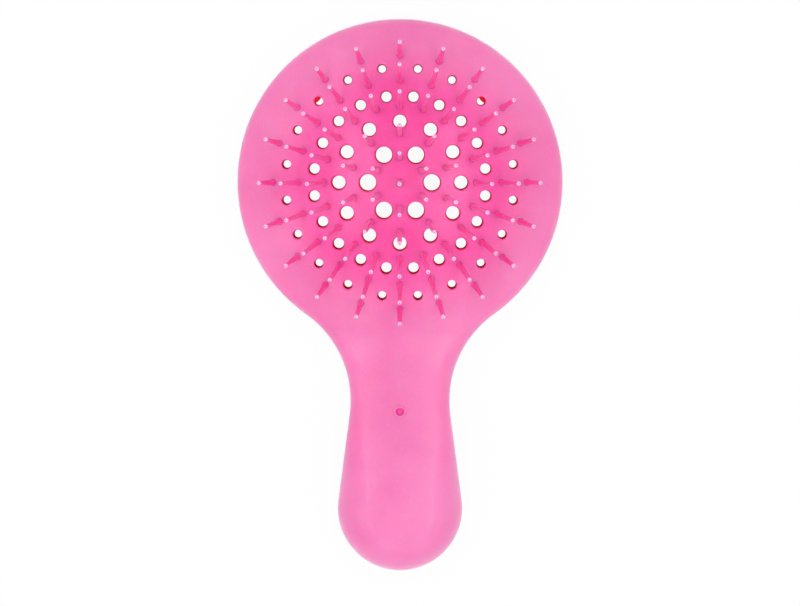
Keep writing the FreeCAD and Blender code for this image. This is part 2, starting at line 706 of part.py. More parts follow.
def build_back_shell():
    """The back: a shallow tray, hollow under the head, with vents and posts for the front shell."""
    body = new_body("back_shell")
    outline = new_sketch(body, "back_outline")
    draw_outline(outline)
    feature(body, "Pad", "back_block", outline, Length="sizes.parting_height")
    ease_edges(body, "Fillet", "back_edge", "sizes.back_edge_radius", is_bottom_edge)
    ease_edges(body, "Chamfer", "back_parting", "sizes.parting_chamfer", is_parting_edge)
    tray = new_sketch(body, "tray_outline", height="sizes.back_skin")
    draw_outline(tray, ("wall",))
    feature(body, "Pocket", "tray", tray, Length="sizes.parting_height").Reversed = True
    step = new_sketch(body, "lip_step_outline", height="sizes.parting_height")
    draw_outline(step, ("wall", "-lip_width", "-lip_gap"))
    feature(body, "Pocket", "lip_step", step, Length="sizes.lip_depth + sizes.lip_gap")

    bulge = new_sketch(body, "bulge_profile", "YZ_Plane")
    draw_cap(bulge, ("back_skin",))
    revolve(body, "Revolution", "bulge", bulge)
    posts = new_sketch(body, "post_circles")
    draw_posts(posts)
    feature(body, "Pad", "posts", posts, Length="sizes.post_height")
    dish = new_sketch(body, "dish_profile", "YZ_Plane")
    draw_cap(dish)
    revolve(body, "Groove", "dish", dish)
    ease_edges(body, "Fillet", "dish_edge", "sizes.dish_edge_radius", is_dish_rim)
    for ring, count, angle in VENT_RINGS:
        vent = new_sketch(body, f"back_{ring}_vent_circle")
        draw_vent(vent, ring, angle, ("-vent_step",))
        cut = feature(body, "Pocket", f"back_{ring}_vent", vent, Length="sizes.dome_height")
        cut.Reversed = True
        polar_pattern(body, f"back_{ring}_vents", cut, count)
    ease_edges(body, "Fillet", "back_vent_mouths", "sizes.vent_edge_radius", is_back_vent_mouth)
    place(body)
    return body


def add_pin(body, name, circle, length):
    """One pin: snap foot, thin neck, round shoulder in its seat, and a tapered shank with a round tip."""
    sketch = sketch_on_dome(body, name + "_profile", circle)
    root = size("pin_root_diameter") / 2
    tip = size("pin_tip_diameter") / 2
    neck = size("pin_neck_diameter") / 2
    foot = size("pin_foot_diameter") / 2
    lead = size("pin_foot_lead") / 2
    neck_at = -math.sqrt(root**2 - neck**2)
    foot_top = -size("wall") - size("pin_foot_gap")
    foot_end = foot_top - size("pin_foot_length")
    reach = size(length)
    axis_line, end_line, barb_line, ledge_line, neck_line, shoulder_arc, shank_line, tip_arc = range(8)
    sketch.addGeometry(
        [
            line((0, reach), (0, foot_end)),
            line((0, foot_end), (lead, foot_end)),
            line((lead, foot_end), (foot, foot_top)),
            line((foot, foot_top), (neck, foot_top)),
            line((neck, foot_top), (neck, neck_at)),
            arc((0, 0), root, (neck, neck_at), (root, 0)),
            line((root, 0), (tip, reach - tip)),
            arc((0, reach - tip), tip, (tip, reach - tip), (0, reach)),
        ],
        False,
    )
    relate(sketch, "Coincident", axis_line, END, end_line, START)
    relate(sketch, "Coincident", end_line, END, barb_line, START)
    relate(sketch, "Coincident", barb_line, END, ledge_line, START)
    relate(sketch, "Coincident", ledge_line, END, neck_line, START)
    relate(sketch, "Coincident", neck_line, END, shoulder_arc, START)
    relate(sketch, "Coincident", shoulder_arc, END, shank_line, START)
    relate(sketch, "Coincident", shank_line, END, tip_arc, START)
    relate(sketch, "Coincident", tip_arc, END, axis_line, START)
    relate(sketch, "PointOnObject", axis_line, START, Y_AXIS)
    relate(sketch, "PointOnObject", axis_line, END, Y_AXIS)
    relate(sketch, "PointOnObject", tip_arc, CENTRE, Y_AXIS)
    relate(sketch, "PointOnObject", shoulder_arc, END, X_AXIS)
    relate(sketch, "Coincident", shoulder_arc, CENTRE, *ORIGIN)
    relate(sketch, "Horizontal", end_line)
    relate(sketch, "Horizontal", ledge_line)
    relate(sketch, "Vertical", neck_line)
    relate(sketch, "Horizontal", tip_arc, CENTRE, tip_arc, START)
    ledge_expression = "-sizes.wall - sizes.pin_foot_gap"
    bottom_expression = f"{ledge_expression} - sizes.pin_foot_length"
    bind_radius(sketch, shoulder_arc, "sizes.pin_root_diameter / 2")
    bind_radius(sketch, tip_arc, "sizes.pin_tip_diameter / 2")
    bind_point(sketch, axis_line, START, up=f"sizes.{length}")
    bind_point(sketch, neck_line, END, across="sizes.pin_neck_diameter / 2")
    bind_point(sketch, barb_line, END, "sizes.pin_foot_diameter / 2", ledge_expression)
    bind_point(sketch, barb_line, START, "sizes.pin_foot_lead / 2", bottom_expression)
    revolve(body, "Revolution", name, sketch)


def build_pins(label, angle, rings):
    """The pins of some rings at one direction round the head, as separate solids of one piece."""
    body = new_body(label)
    body.AllowCompound = True
    for number, (circle, length) in enumerate(rings, start=1):
        add_pin(body, f"{label}_shank_{number}", circle, length)
    place(body, angle)
    return body


def build_all_pins():
    """The centre pin, the two inner rings pin by pin, and the three outer rings row by row."""
    pins = [build_pins("centre_pin", 0.0, [(None, "long_pin_length")])]
    for name, (circle, length, count) in zip(("inner_pin", "middle_pin"), PIN_RINGS):
        for number in range(count):
            pins.append(build_pins(f"{name}_{number + 1:02d}", number * 360.0 / count, [(circle, length)]))
    spoke_count = SPOKE_RINGS[0][2]
    spoke_pins = [(circle, length) for circle, length, _ in SPOKE_RINGS]
    for number in range(spoke_count):
        pins.append(build_pins(f"pin_spoke_{number + 1:02d}", number * 360.0 / spoke_count, spoke_pins))
    return pins


def check(pieces):
    """Stop if anything in the document failed or a piece isn't a sound solid."""
    for item in doc.Objects:
        if "Invalid" in item.State or "Error" in item.State:
            raise RuntimeError(f"{item.Label} failed: {item.State}")
    for piece in pieces:
        if piece.Shape.isNull() or not piece.Shape.isValid() or not piece.Shape.Solids:
            raise RuntimeError(f"{piece.Label} is not a sound solid")


pieces = [build_front_shell(), build_back_shell()] + build_all_pins()
doc.recompute()
check(pieces)
os.makedirs("parts", exist_ok=True)
for piece in pieces:
    piece.Shape.exportStep(f"parts/{piece.Label}.step")
    print(f"{piece.Label}: {len(piece.Shape.Solids)} solids, {piece.Shape.Volume:.1f} mm3")
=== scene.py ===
"""Looks of the detangling brush: moulded pink plastic shells, flexible pins, and a white studio table."""

import json
import math

import bmesh
import bpy
from bpy.props import FloatProperty, FloatVectorProperty, IntProperty, PointerProperty
from mathutils import Matrix, Vector
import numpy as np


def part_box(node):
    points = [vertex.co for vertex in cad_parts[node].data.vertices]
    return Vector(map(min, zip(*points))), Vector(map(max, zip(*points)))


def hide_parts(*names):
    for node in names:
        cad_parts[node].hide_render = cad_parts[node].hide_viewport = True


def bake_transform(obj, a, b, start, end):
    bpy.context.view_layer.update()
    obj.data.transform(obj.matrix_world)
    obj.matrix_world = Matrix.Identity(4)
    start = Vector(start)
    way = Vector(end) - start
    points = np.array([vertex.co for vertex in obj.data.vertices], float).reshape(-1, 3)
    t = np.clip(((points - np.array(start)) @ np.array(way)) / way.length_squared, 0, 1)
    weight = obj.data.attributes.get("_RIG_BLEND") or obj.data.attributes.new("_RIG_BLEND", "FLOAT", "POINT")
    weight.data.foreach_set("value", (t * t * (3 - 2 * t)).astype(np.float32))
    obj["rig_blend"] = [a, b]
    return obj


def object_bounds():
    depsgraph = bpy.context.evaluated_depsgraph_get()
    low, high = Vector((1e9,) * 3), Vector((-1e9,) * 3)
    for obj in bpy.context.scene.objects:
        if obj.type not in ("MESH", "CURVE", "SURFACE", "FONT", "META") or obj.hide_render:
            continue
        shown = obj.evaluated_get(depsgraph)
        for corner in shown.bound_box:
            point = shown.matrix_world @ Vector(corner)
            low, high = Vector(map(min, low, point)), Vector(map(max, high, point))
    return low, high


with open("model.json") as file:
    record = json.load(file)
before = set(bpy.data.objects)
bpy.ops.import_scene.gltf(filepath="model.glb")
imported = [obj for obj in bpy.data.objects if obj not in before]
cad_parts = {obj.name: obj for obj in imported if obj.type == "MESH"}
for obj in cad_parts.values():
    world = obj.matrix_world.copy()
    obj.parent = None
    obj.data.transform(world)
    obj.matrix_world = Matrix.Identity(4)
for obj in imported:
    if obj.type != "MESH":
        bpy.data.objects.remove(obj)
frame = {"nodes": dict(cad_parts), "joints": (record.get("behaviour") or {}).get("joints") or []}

bl_info = {
    "name": "Detangling Brush",
    "version": (1, 0, 0),
    "blender": (4, 5, 0),
    "location": "3D View > Sidebar > Brush",
    "description": "Dresses the shells and grows the pins of a round-headed detangling brush",
    "category": "Add Mesh",
}

CAD_LOW, CAD_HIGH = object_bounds()
FRONT_LOW, FRONT_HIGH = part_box("front_shell")
HEAD_RADIUS = (FRONT_HIGH.x - FRONT_LOW.x) / 2
HEAD_AXIS = Vector((0.0, FRONT_HIGH.y - HEAD_RADIUS, 0.0))
BRUSH_MIDDLE = (CAD_LOW + CAD_HIGH) / 2
JOINTS = {joint["child"]: joint for joint in frame["joints"]}
SHELL_BODY = "shell"
PIN_FINISH = "flexible_pin_plastic"
TIP_LAYER = "from_tip"  # how far a point of a pin lies below its tip
IN_PLAN = (1.0, 1.0, 0.0)
IN_SPACE = (1.0, 1.0, 1.0)
WHITE = (1.0, 1.0, 1.0, 1.0)

# finish of the plastic; lengths are in metres
PLASTIC_IOR = 1.49
SCATTER_SHARES = (1.0, 0.15, 0.35)  # how far red, green and blue light get, as shares of the scatter depth
SHEEN_ROUGHNESS = 0.4
SHEEN_TINT = (1.0, 0.75, 0.88, 1.0)
NOISE_SPREAD = (0.3, 0.7)  # most values of a noise lie between these
WIDE_NOISE_SPREAD = (0.25, 0.75)
FLOW_SIZE, FLOW_DETAIL = 0.018, 4.0  # the soft flow marks
FLOW_BRIGHTNESS = (0.955, 1.03)
FLOW_SATURATION = (1.03, 0.97)
SPECK_COLOUR = (0.97, 0.55, 0.76, 1.0)
SPECK_SPREAD = (0.62, 0.78)  # only the peaks of the noise are specks
SPECK_SHARE = 0.10
PATCH_SIZE, PATCH_DETAIL = 0.006, 3.0  # patches of slightly different gloss
PATCH_ROUGHNESS = (-0.02, 0.03)  # how much they change the roughness
DULL_ROUGHNESS = 0.85  # roughness inside the hollow head
PEEL_DETAIL, GRAIN_DETAIL, SPECK_DETAIL = 2.0, 1.0, 0.0
GRAIN_SHARE = 0.35  # height of the grain beside that of the waves
RELIEF_STRENGTH = 0.25
RELIEF_DEPTH = 0.00004

# where the colours change, as distances from the head's axis, below a face or below a pin's tip
# the deeper pink among the pins is painted bounce light: the plastic is one pink, and this colour stands in for
# light bounced between the pins and the dome
BOUNCE_FADE = (0.020, 0.037)
HOLLOW_FADE = (0.0325, 0.0340)
FRONT_SKIN = (0.00015, 0.0006)
BACK_SKIN = (0.0005, 0.0015)
PIN_ROOT_ZONE = 0.004
# the band below a pin's tip that holds the painted highlight ring
TIP_HIGHLIGHT_TOP = (0.00002, 0.00006)
TIP_HIGHLIGHT_BOTTOM = (0.0006, 0.0010)
MARK_FADE = (0.4, 0.6)  # where the painted deeper pink (painted bounce light) in the moulding mark ends, as shares of its recess
FRONT_BOUNCE_SHARE = 1.0  # how much of the painted deeper pink (painted bounce light) the front has
BACK_BOUNCE_SHARE = 0.25

# a pin's mesh: steps along its fillet, shank and tip, and the angle above which an edge stays sharp
FILLET_STEPS = 5
SHANK_STEPS = 16
TIP_STEPS = 6
SHOULDER_SHARE = 0.3  # depth at which the shoulder begins to round, as a share of the root's radius
SHARP_ANGLE = math.radians(50)

TABLE_CELLS = 8
TABLE_HALF_WIDTH = 6.0
TABLE_GAP = 0.0002  # how far the table lies below the brush
TABLE_ROUGHNESS = 0.6
WALL_TOP, ROOF_START = 0.1, 0.9  # rise of a direction at the top of the light tent's walls and at its roof
SENSOR_WIDTH = 36.0  # in millimetres
NEAREST_VIEW = 0.01


class PlasticSettings(bpy.types.PropertyGroup):
    """Colours and finish of the moulded plastic"""

    rim_colour: FloatVectorProperty(
        name="Rim colour", description="Pink of the rim, the grip and the back", subtype="COLOR",
        size=4, min=0.0, max=1.0, default=(0.87, 0.195, 0.47, 1.0),
    )
    # painted light: a deeper, more saturated pink that stands in for light bounced between the pins and the dome,
    # which are all one pink
    bounce_colour: FloatVectorProperty(
        name="Pin field colour", description="Deeper pink between the pins", subtype="COLOR",
        size=4, min=0.0, max=1.0, default=(0.98, 0.080, 0.41, 1.0),
    )
    # painted light and shade: a deep red standing in for the dim, pink-filtered light that reaches the vent walls
    # and the hollow head; also the colour of the painted glow there
    hollow_light_colour: FloatVectorProperty(
        name="Vent wall colour", description="Red of the plastic's depth, seen inside the vents",
        subtype="COLOR", size=4, min=0.0, max=1.0, default=(0.95, 0.008, 0.060, 1.0),
    )
    # painted shade: the deeper pink at the foot of a pin stands in for the shade among the pins
    pin_root_shade_colour: FloatVectorProperty(
        name="Pin root colour", description="Pink at the foot of a pin", subtype="COLOR",
        size=4, min=0.0, max=1.0, default=(1.0, 0.075, 0.40, 1.0),
    )
    # painted light: the paler pink towards the tip stands in for the light that the tips catch above the shaded
    # field, not for thinner plastic
    pin_tip_light_colour: FloatVectorProperty(
        name="Pin tip colour", description="Paler pink of the thin end of a pin", subtype="COLOR",
        size=4, min=0.0, max=1.0, default=(1.0, 0.170, 0.50, 1.0),
    )
    # painted highlight: the pale ring round a pin's tip stands in for the reflection of the ring of lamps in the
    # round tip
    tip_highlight_colour: FloatVectorProperty(
        name="Pin end colour", description="Pale ring round the tip of a pin", subtype="COLOR",
        size=4, min=0.0, max=1.0, default=(0.95, 0.66, 0.86, 1.0),
    )
    shell_roughness: FloatProperty(
        name="Shell roughness", description="Roughness of the satin shells", subtype="FACTOR",
        min=0.0, max=1.0, default=0.31,
    )
    pin_roughness: FloatProperty(
        name="Pin roughness", description="Roughness of the smoother pins", subtype="FACTOR",
        min=0.0, max=1.0, default=0.16,
    )
    translucency: FloatProperty(
        name="Translucency", description="Share of light that scatters under the surface", subtype="FACTOR",
        min=0.0, max=1.0, default=0.75,
    )
    scatter_depth: FloatProperty(
        name="Scatter depth", description="How far light travels in the plastic", subtype="DISTANCE",
        unit="LENGTH", min=0.0, max=0.01, precision=5, default=0.0035,
    )
    pin_scatter_depth: FloatProperty(
        name="Pin scatter depth", description="How far light travels in the thin pins", subtype="DISTANCE",
        unit="LENGTH", min=0.0, max=0.01, precision=5, default=0.0003,
    )
    sheen: FloatProperty(
        name="Sheen", description="Paleness of the shells where they turn away", subtype="FACTOR",
        min=0.0, max=1.0, default=0.6,
    )
    pin_sheen: FloatProperty(
        name="Pin sheen", description="Paleness of the pins where they turn away", subtype="FACTOR",
        min=0.0, max=1.0, default=0.15,
    )
    # painted glow: an emission inside the hollow head that stands in for light soaking through the plastic
    glow: FloatProperty(
        name="Inner glow", description="Light that soaks through the plastic into the hollow head",
        min=0.0, default=0.08,
    )
    peel_size: FloatProperty(
        name="Peel size", description="Width of the faint waves in the moulded surface", subtype="DISTANCE",
        unit="LENGTH", min=0.0001, max=0.01, precision=5, default=0.0009,
    )
    grain_size: FloatProperty(
        name="Grain size", description="Width of the fine specks in the plastic", subtype="DISTANCE",
        unit="LENGTH", min=0.00005, max=0.002, precision=5, default=0.0003,
    )


class ShellSettings(bpy.types.PropertyGroup):
    """Sizes of the shells that the finish follows"""

    dish_radius: FloatProperty(
        name="Dish radius", description="Radius of the hollow in the back of the head", subtype="DISTANCE",
        unit="LENGTH", precision=5, default=0.065,
    )
    dish_depth: FloatProperty(
        name="Dish depth", description="Depth of that hollow in its middle", subtype="DISTANCE",
        unit="LENGTH", precision=5, default=0.009,
    )
    mark_setback: FloatProperty(
        name="Mark setback", description="Distance of the moulding mark on the grip from the head's axis",
        subtype="DISTANCE", unit="LENGTH", precision=5, default=0.058,
    )
    mark_recess: FloatProperty(
        name="Mark recess", description="Width of the recess in the moulding mark", subtype="DISTANCE",
        unit="LENGTH", precision=5, default=0.0021,
    )


class PinSettings(bpy.types.PropertyGroup):
    """Sizes of the pins"""

    dome_radius: FloatProperty(
        name="Dome radius", description="Radius of the dome that the pins stand on", subtype="DISTANCE",
        unit="LENGTH", precision=5, default=0.080,
    )
    dome_height: FloatProperty(
        name="Dome height", description="Height of the top of the dome", subtype="DISTANCE",
        unit="LENGTH", precision=5, default=0.0184,
    )
    row_circles: FloatVectorProperty(
        name="Row circles", description="Distances of the three pins of a row from the head's axis",
        subtype="XYZ", unit="LENGTH", size=3, precision=5, default=(0.0192, 0.0256, 0.0320),
    )
    row_lengths: FloatVectorProperty(
        name="Row lengths", description="Lengths of the three pins of a row, from the inside out",
        subtype="XYZ", unit="LENGTH", size=3, precision=5, default=(0.0165, 0.0135, 0.0090),
    )
    single_length: FloatProperty(
        name="Single pin length", description="Length of the pins of the inner rings", subtype="DISTANCE",
        unit="LENGTH", precision=5, default=0.0165,
    )
    root_diameter: FloatProperty(
        name="Root diameter", description="Thickness of a pin at the dome", subtype="DISTANCE",
        unit="LENGTH", precision=5, default=0.0015,
    )
    tip_diameter: FloatProperty(
        name="Tip diameter", description="Thickness of a pin at its round tip", subtype="DISTANCE",
        unit="LENGTH", precision=5, default=0.0010,
    )
    collar_diameter: FloatProperty(
        name="Collar diameter", description="Width of the small fillet where a pin leaves the dome",
        subtype="DISTANCE", unit="LENGTH", precision=5, default=0.0018,
    )
    collar_height: FloatProperty(
        name="Collar height", description="Height of that fillet", subtype="DISTANCE",
        unit="LENGTH", precision=5, default=0.0004,
    )
    neck_diameter: FloatProperty(
        name="Neck diameter", description="Thickness of a pin inside the wall of the shell",
        subtype="DISTANCE", unit="LENGTH", precision=5, default=0.0008,
    )
    foot_diameter: FloatProperty(
        name="Foot diameter", description="Width of the snap foot behind the wall", subtype="DISTANCE",
        unit="LENGTH", precision=5, default=0.0022,
    )
    foot_lead: FloatProperty(
        name="Foot lead", description="Width of the end of the snap foot", subtype="DISTANCE",
        unit="LENGTH", precision=5, default=0.0012,
    )
    foot_depth: FloatProperty(
        name="Foot depth", description="Depth of the snap foot's ledge below the dome", subtype="DISTANCE",
        unit="LENGTH", precision=5, default=0.0024,
    )
    foot_length: FloatProperty(
        name="Foot length", description="Length of the snap foot", subtype="DISTANCE",
        unit="LENGTH", precision=5, default=0.0010,
    )
    sides: IntProperty(name="Sides", description="Faces round a pin", min=8, max=64, default=20)
    bend_share: FloatProperty(
        name="Bend share", description="Part of its length over which a pin bends", subtype="FACTOR",
        min=0.1, max=1.0, default=0.8,
    )


class StageSettings(bpy.types.PropertyGroup):
    """Camera, lights and table"""

    camera_spot: FloatVectorProperty(
        name="Camera spot", description="Where the camera stands", subtype="TRANSLATION",
        unit="LENGTH", size=3, precision=4, default=(0.006, 0.056, 1.405),
    )
    camera_aim: FloatVectorProperty(
        name="Camera aim", description="What the middle of the picture shows", subtype="TRANSLATION",
        unit="LENGTH", size=3, precision=4, default=(0.0, -0.0020, 0.005),
    )
    lens: FloatProperty(
        name="Lens", description="Focal length in millimetres", min=10.0, max=400.0, default=248.4,
    )
    light_count: IntProperty(
        name="Softboxes", description="Softboxes round the table", min=3, max=16, default=8,
    )
    light_circle: FloatProperty(
        name="Softbox circle", description="Distance of the softboxes from the middle", subtype="DISTANCE",
        unit="LENGTH", default=1.25,
    )
    light_height: FloatProperty(
        name="Softbox height", description="Height of the softboxes", subtype="DISTANCE",
        unit="LENGTH", default=1.15,
    )
    light_size: FloatProperty(
        name="Softbox size", description="Width of one softbox", subtype="DISTANCE",
        unit="LENGTH", default=0.45,
    )
    light_power: FloatProperty(
        name="Softbox power", description="Power of one softbox", subtype="POWER",
        unit="POWER", default=1.25,
    )
    light_lead: FloatProperty(
        name="Lead direction", description="Side of the table where the softboxes are stronger",
        subtype="ANGLE", unit="ROTATION", default=math.radians(235),
    )
    light_bias: FloatProperty(
        name="Lead", description="How much stronger the softboxes are on that side", subtype="FACTOR",
        min=0.0, max=1.0, default=0.35,
    )
    strip_offset: FloatProperty(
        name="Strip offset", description="Distance of the two strip lights to the left and right",
        subtype="DISTANCE", unit="LENGTH", default=0.40,
    )
    strip_width: FloatProperty(
        name="Strip width", description="Width of a strip light", subtype="DISTANCE",
        unit="LENGTH", default=0.06,
    )
    strip_length: FloatProperty(
        name="Strip length", description="Length of a strip light, along the brush", subtype="DISTANCE",
        unit="LENGTH", default=1.1,
    )
    strip_power: FloatProperty(
        name="Strip power", description="Power of a strip light", subtype="POWER",
        unit="POWER", default=3.1,
    )
    wall_fill: FloatProperty(
        name="Wall fill", description="Strength of the light from the walls of the light tent",
        min=0.0, default=0.71,
    )
    roof_fill: FloatProperty(
        name="Roof fill", description="Strength of the light from its roof", min=0.0, default=0.55,
    )
    table_colour: FloatVectorProperty(
        name="Table colour", description="Colour of the table top", subtype="COLOR",
        size=4, min=0.0, max=1.0, default=(0.86, 0.86, 0.86, 1.0),
    )
    table_shade: FloatProperty(
        name="Table shade", description="How much of the shadow on the white table shows", subtype="FACTOR",
        min=0.0, max=1.0, default=0.05,
    )


def add_node(tree, kind, **settings):
    """A shader node with some of its properties set."""
    made = tree.nodes.new(kind)
    for key, value in settings.items():
        setattr(made, key, value)
    return made


def feed(tree, source, target):
    """Link an output to an input."""
    tree.links.new(source, target)


def math_node(tree, operation, first, second=None):
    """A Math node of one or two values, each a socket or a number; its output."""
    made = add_node(tree, "ShaderNodeMath", operation=operation)
    for socket, value in zip(made.inputs, (first, second)):
        if isinstance(value, bpy.types.NodeSocket):
            feed(tree, value, socket)
        elif value is not None:
            socket.default_value = value
    return made.outputs[0]


def ramp_between(tree, value, start, end, at_start, at_end):
    """A smooth change of a value from one number to another; its output."""
    made = add_node(tree, "ShaderNodeMapRange", interpolation_type="SMOOTHSTEP")
    feed(tree, value, made.inputs["Value"])
    for name, number in (("From Min", start), ("From Max", end), ("To Min", at_start), ("To Max", at_end)):
        made.inputs[name].default_value = number
    return made.outputs["Result"]


def mix_colours(tree, share, first, second):
    """A mix of two colours, each a socket or a colour; its output."""
    made = add_node(tree, "ShaderNodeMix", data_type="RGBA")
    feed(tree, share, made.inputs["Factor"])
    sockets = [socket for socket in made.inputs if socket.type == "RGBA"]
    for socket, value in zip(sockets, (first, second)):
        if isinstance(value, bpy.types.NodeSocket):
            feed(tree, value, socket)
        else:
            socket.default_value = value
    return next(socket for socket in made.outputs if socket.type == "RGBA")


def noise(tree, coordinates, feature_size, detail):
    """Noise with features of about the given size in metres; its output."""
    made = add_node(tree, "ShaderNodeTexNoise")
    feed(tree, coordinates, made.inputs["Vector"])
    made.inputs["Scale"].default_value = 1.0 / feature_size
    made.inputs["Detail"].default_value = detail
    return made.outputs["Fac"]


def distance_from(tree, coordinates, point, keep):
    """Distance of the surface from a point, along the axes that `keep` holds a one for; its output."""
    away = add_node(tree, "ShaderNodeVectorMath", operation="SUBTRACT")
    feed(tree, coordinates, away.inputs[0])
    away.inputs[1].default_value = point
    kept = add_node(tree, "ShaderNodeVectorMath", operation="MULTIPLY")
    feed(tree, away.outputs["Vector"], kept.inputs[0])
    kept.inputs[1].default_value = keep
    length = add_node(tree, "ShaderNodeVectorMath", operation="LENGTH")
    feed(tree, kept.outputs["Vector"], length.inputs[0])
    return length.outputs["Value"]


class PlasticMaterial:
    """A moulded plastic: one colour tree, with the flow marks, specks and surface waves of moulding."""

    def __init__(self, name, looks, scatter_depth, sheen):
        self.material = bpy.data.materials.new(name)
        self.material.use_nodes = True
        self.tree = self.material.node_tree
        self.looks = looks
        self.shader = self.tree.nodes["Principled BSDF"]
        self.coordinates = add_node(self.tree, "ShaderNodeTexCoord").outputs
        self.shader.inputs["IOR"].default_value = PLASTIC_IOR
        self.shader.inputs["Subsurface Weight"].default_value = looks.translucency
        self.shader.inputs["Subsurface Radius"].default_value = SCATTER_SHARES
        self.shader.inputs["Subsurface Scale"].default_value = scatter_depth
        self.shader.inputs["Sheen Weight"].default_value = sheen
        self.shader.inputs["Sheen Roughness"].default_value = SHEEN_ROUGHNESS
        self.shader.inputs["Sheen Tint"].default_value = SHEEN_TINT

    def set_surface(self, roughness, dull=None):
        """Roughness that varies a little and rises where `dull` is one, and the waves of a moulded face."""
        tree = self.tree
        place = self.coordinates["Object"]
        patches = noise(tree, place, PATCH_SIZE, PATCH_DETAIL)
        smoother, rougher = (roughness + change for change in PATCH_ROUGHNESS)
        varied = ramp_between(tree, patches, *NOISE_SPREAD, smoother, rougher)
        if dull:
            dulled = math_node(tree, "MULTIPLY", dull, DULL_ROUGHNESS)
            varied = math_node(tree, "MAXIMUM", varied, dulled)
        feed(tree, varied, self.shader.inputs["Roughness"])
        waves = noise(tree, place, self.looks.peel_size, PEEL_DETAIL)
        grain = noise(tree, place, self.looks.grain_size, GRAIN_DETAIL)
        relief = math_node(tree, "ADD", waves, math_node(tree, "MULTIPLY", grain, GRAIN_SHARE))
        bump = add_node(tree, "ShaderNodeBump")
        bump.inputs["Strength"].default_value = RELIEF_STRENGTH
        bump.inputs["Distance"].default_value = RELIEF_DEPTH
        feed(tree, relief, bump.inputs["Height"])
        feed(tree, bump.outputs["Normal"], self.shader.inputs["Normal"])

    def set_colour(self, colour):
        """The colour, with soft flow marks and fine pale specks over it."""
        tree = self.tree
        place = self.coordinates["Object"]
        flow = noise(tree, place, FLOW_SIZE, FLOW_DETAIL)
        toned = add_node(tree, "ShaderNodeHueSaturation")
        feed(tree, ramp_between(tree, flow, *NOISE_SPREAD, *FLOW_BRIGHTNESS), toned.inputs["Value"])
        feed(tree, ramp_between(tree, flow, *WIDE_NOISE_SPREAD, *FLOW_SATURATION), toned.inputs["Saturation"])
        feed(tree, colour, toned.inputs["Color"])
        specks = noise(tree, place, self.looks.grain_size, SPECK_DETAIL)
        shown = ramp_between(tree, specks, *SPECK_SPREAD, 0.0, SPECK_SHARE)
        speckled = mix_colours(tree, shown, toned.outputs["Color"], SPECK_COLOUR)
        feed(tree, speckled, self.shader.inputs["Base Color"])


def dome_centre(pins):
    """Centre of the dome that the pins stand on."""
    return HEAD_AXIS + Vector((0.0, 0.0, pins.dome_height - pins.dome_radius))


def shell_plastic(name, looks, shell, bounce_share, centre, skin_start, skin_end):
    """Plastic of a shell: a painted deeper pink for bounced light among the pins and in the mark, and painted deep
    red shade with a painted glow inside the hollow head.

    The painted red begins between two distances from `centre`, that of the shell's outer face first.
    """
    plastic = PlasticMaterial(name, looks, looks.scatter_depth, looks.sheen)
    tree = plastic.tree
    place = plastic.coordinates["Object"]
    from_axis = distance_from(tree, place, HEAD_AXIS, IN_PLAN)
    # painted bounce light: the deeper pink fades in among the pins
    field = ramp_between(tree, from_axis, *BOUNCE_FADE, bounce_share, 0.0)
    mark_at = HEAD_AXIS - Vector((0.0, shell.mark_setback, 0.0))
    from_mark = distance_from(tree, place, mark_at, IN_PLAN)
    mark_start, mark_end = (share * shell.mark_recess for share in MARK_FADE)
    # the same painted bounce light fills the recess of the moulding mark
    recess = ramp_between(tree, from_mark, mark_start, mark_end, bounce_share, 0.0)
    field = math_node(tree, "MAXIMUM", field, recess)
    pink = mix_colours(tree, field, tuple(looks.rim_colour), tuple(looks.bounce_colour))
    reach = distance_from(tree, place, centre, IN_SPACE)
    below_skin = ramp_between(tree, reach, skin_start, skin_end, 0.0, 1.0)
    in_head = ramp_between(tree, from_axis, *HOLLOW_FADE, 1.0, 0.0)
    # where the painted deep red shade, the painted glow and the dull roughness go: below the skin, inside the
    # hollow head
    inside = math_node(tree, "MULTIPLY", below_skin, in_head)
    plastic.set_colour(mix_colours(tree, inside, pink, tuple(looks.hollow_light_colour)))
    plastic.set_surface(looks.shell_roughness, inside)
    # painted glow: the hollow head gives off red light of its own, standing in for light soaking through the
    # plastic
    plastic.shader.inputs["Emission Color"].default_value = looks.hollow_light_colour
    feed(tree, math_node(tree, "MULTIPLY", inside, looks.glow), plastic.shader.inputs["Emission Strength"])
    return plastic.material


def pin_plastic(looks, pins):
    """Plastic of the pins, with painted shade deepening the pink at the root, painted light paling it towards the
    tip, and a painted highlight ring round the tip.
    """
    plastic = PlasticMaterial(PIN_FINISH, looks, looks.pin_scatter_depth, looks.pin_sheen)
    tree = plastic.tree
    reach = distance_from(tree, plastic.coordinates["Object"], dome_centre(pins), IN_SPACE)
    height = math_node(tree, "SUBTRACT", reach, pins.dome_radius)
    # painted shade at the root fading to painted light at the tip, by height above the dome
    thin = ramp_between(tree, height, PIN_ROOT_ZONE, pins.single_length, 0.0, 1.0)
    shank = mix_colours(tree, thin, tuple(looks.pin_root_shade_colour), tuple(looks.pin_tip_light_colour))
    from_tip = add_node(tree, "ShaderNodeAttribute", attribute_name=TIP_LAYER).outputs["Fac"]
    # painted highlight: a pale ring a little below the very tip
    highlight_top = ramp_between(tree, from_tip, *TIP_HIGHLIGHT_TOP, 0.0, 1.0)
    highlight_bottom = ramp_between(tree, from_tip, *TIP_HIGHLIGHT_BOTTOM, 1.0, 0.0)
    ring = math_node(tree, "MULTIPLY", highlight_top, highlight_bottom)
    plastic.set_colour(mix_colours(tree, ring, shank, tuple(looks.tip_highlight_colour)))
    plastic.set_surface(looks.pin_roughness)
    return plastic.material


def dress(node, material):
    """Give a node of the model its finish."""
    piece = frame["nodes"][node]
    if not piece.material_slots:
        piece.data.materials.append(material)
    for slot in piece.material_slots:
        slot.material = material


